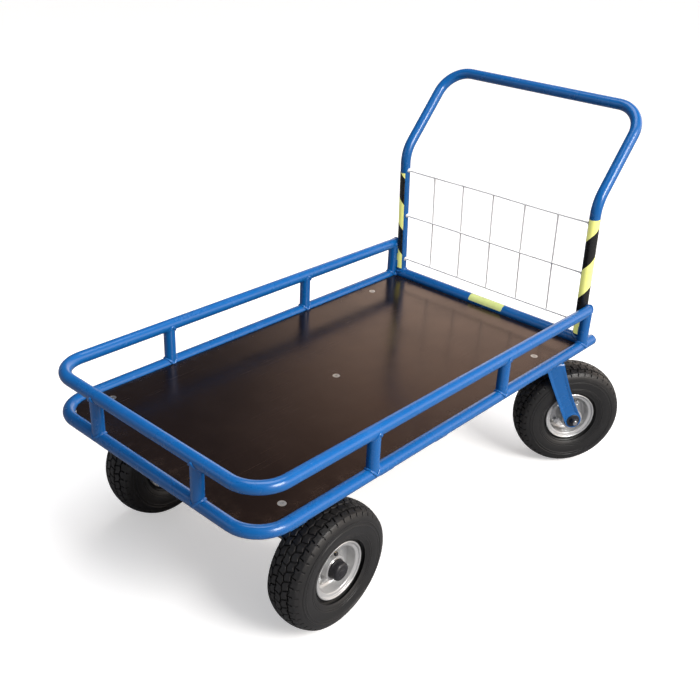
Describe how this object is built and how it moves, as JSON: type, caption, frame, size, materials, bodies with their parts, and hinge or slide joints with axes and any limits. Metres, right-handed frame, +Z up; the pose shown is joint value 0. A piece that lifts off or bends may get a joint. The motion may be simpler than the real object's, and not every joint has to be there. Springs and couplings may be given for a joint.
{
  "type": "platform trolley",
  "caption": "Platform trolley with a tubular frame and raised rail round a plywood deck, a push handle with wire mesh, fixed pneumatic front wheels and swivel castors at the handle end.",
  "frame": {"origin": "on the floor, below the middle of the overall outline", "axes": "+X across the trolley, +Y towards the handle, +Z up"},
  "size_m": [0.736, 1.211, 0.8604],
  "materials": {
    "frame_paint": "blue powder coat, semi-gloss",
    "deck_board": "dark brown film-faced plywood, glossy",
    "zinc_steel": "bright zinc plate",
    "axle_steel": "drawn steel bar",
    "black_plastic": "moulded, satin",
    "hazard_tape": "yellow and black diagonal stripes",
    "label_film": "blank pale yellow film",
    "tyre_rubber": "black rubber",
    "tube_rubber": "butyl rubber",
    "rim_steel": "silver lacquered pressed steel",
    "bearing_steel": "ground",
    "dark_steel": "black oxide"
  },
  "bodies": {
    "chassis": {"deck_frame_tube": "frame_paint", "rail_posts": "frame_paint", "rear_rail_posts": "frame_paint", "upper_rail_tube": "frame_paint", "rear_cross_tube": "frame_paint", "tube_end_caps": "black_plastic", "deck_cross_members": "frame_paint", "castor_mount_plates": "frame_paint", "deck_panel": "deck_board", "deck_bolts": "zinc_steel", "deck_lock_nuts": "zinc_steel", "handle_tube": "frame_paint", "mesh_horizontal_wires": "zinc_steel", "mesh_vertical_wires": "zinc_steel", "hazard_tapes": "hazard_tape", "label_plate": "label_film", "axle_brackets": "frame_paint", "front_axle": "axle_steel", "axle_spacers": "zinc_steel", "axle_nuts": "zinc_steel", "axle_end_caps": "black_plastic", "castor_top_plates": "zinc_steel", "castor_plate_bolts": "zinc_steel"},
    "front_right_wheel": {"front_right_tyre": "tyre_rubber", "front_right_inner_tube": "tube_rubber", "front_right_rim_halves": "rim_steel", "front_right_hub": "rim_steel", "front_right_bearings": "bearing_steel", "front_right_rim_bolts": "zinc_steel"},
    "front_left_wheel": {"front_left_tyre": "tyre_rubber", "front_left_inner_tube": "tube_rubber", "front_left_rim_halves": "rim_steel", "front_left_hub": "rim_steel", "front_left_bearings": "bearing_steel", "front_left_rim_bolts": "zinc_steel"},
    "castor_right_swivel": {"castor_right_fork": "frame_paint", "castor_right_swivel_bearing": "bearing_steel", "castor_right_kingpin": "zinc_steel", "castor_right_axle_sleeve": "zinc_steel", "castor_right_axle_bolt": "dark_steel", "castor_right_axle_nut": "dark_steel"},
    "castor_right_wheel": {"castor_right_tyre": "tyre_rubber", "castor_right_inner_tube": "tube_rubber", "castor_right_rim_halves": "rim_steel", "castor_right_hub": "rim_steel", "castor_right_bearings": "bearing_steel", "castor_right_rim_bolts": "zinc_steel"},
    "castor_left_swivel": {"castor_left_fork": "frame_paint", "castor_left_swivel_bearing": "bearing_steel", "castor_left_kingpin": "zinc_steel", "castor_left_axle_sleeve": "zinc_steel", "castor_left_axle_bolt": "dark_steel", "castor_left_axle_nut": "dark_steel"},
    "castor_left_wheel": {"castor_left_tyre": "tyre_rubber", "castor_left_inner_tube": "tube_rubber", "castor_left_rim_halves": "rim_steel", "castor_left_hub": "rim_steel", "castor_left_bearings": "bearing_steel", "castor_left_rim_bolts": "zinc_steel"}
  },
  "joints": [
    {"name": "front_right_wheel_spin", "type": "hinge", "parent": "chassis", "child": "front_right_wheel", "pos_m": [0.25, -0.3768, 0.13], "axis": [1, 0, 0], "continuous": true},
    {"name": "front_left_wheel_spin", "type": "hinge", "parent": "chassis", "child": "front_left_wheel", "pos_m": [-0.25, -0.3768, 0.13], "axis": [1, 0, 0], "continuous": true},
    {"name": "castor_right_swivel_turn", "type": "hinge", "parent": "chassis", "child": "castor_right_swivel", "pos_m": [0.2287, 0.4038, 0.295], "axis": [0, 0, 1], "continuous": true},
    {"name": "castor_right_wheel_spin", "type": "hinge", "parent": "castor_right_swivel", "child": "castor_right_wheel", "pos_m": [0.26759, 0.45588, 0.13], "axis": [0.8013, -0.5983, 0], "continuous": true},
    {"name": "castor_left_swivel_turn", "type": "hinge", "parent": "chassis", "child": "castor_left_swivel", "pos_m": [-0.2287, 0.4038, 0.295], "axis": [0, 0, 1], "continuous": true},
    {"name": "castor_left_wheel_spin", "type": "hinge", "parent": "castor_left_swivel", "child": "castor_left_wheel", "pos_m": [-0.26759, 0.45588, 0.13], "axis": [-0.8013, -0.5983, 0], "continuous": true}
  ]
}
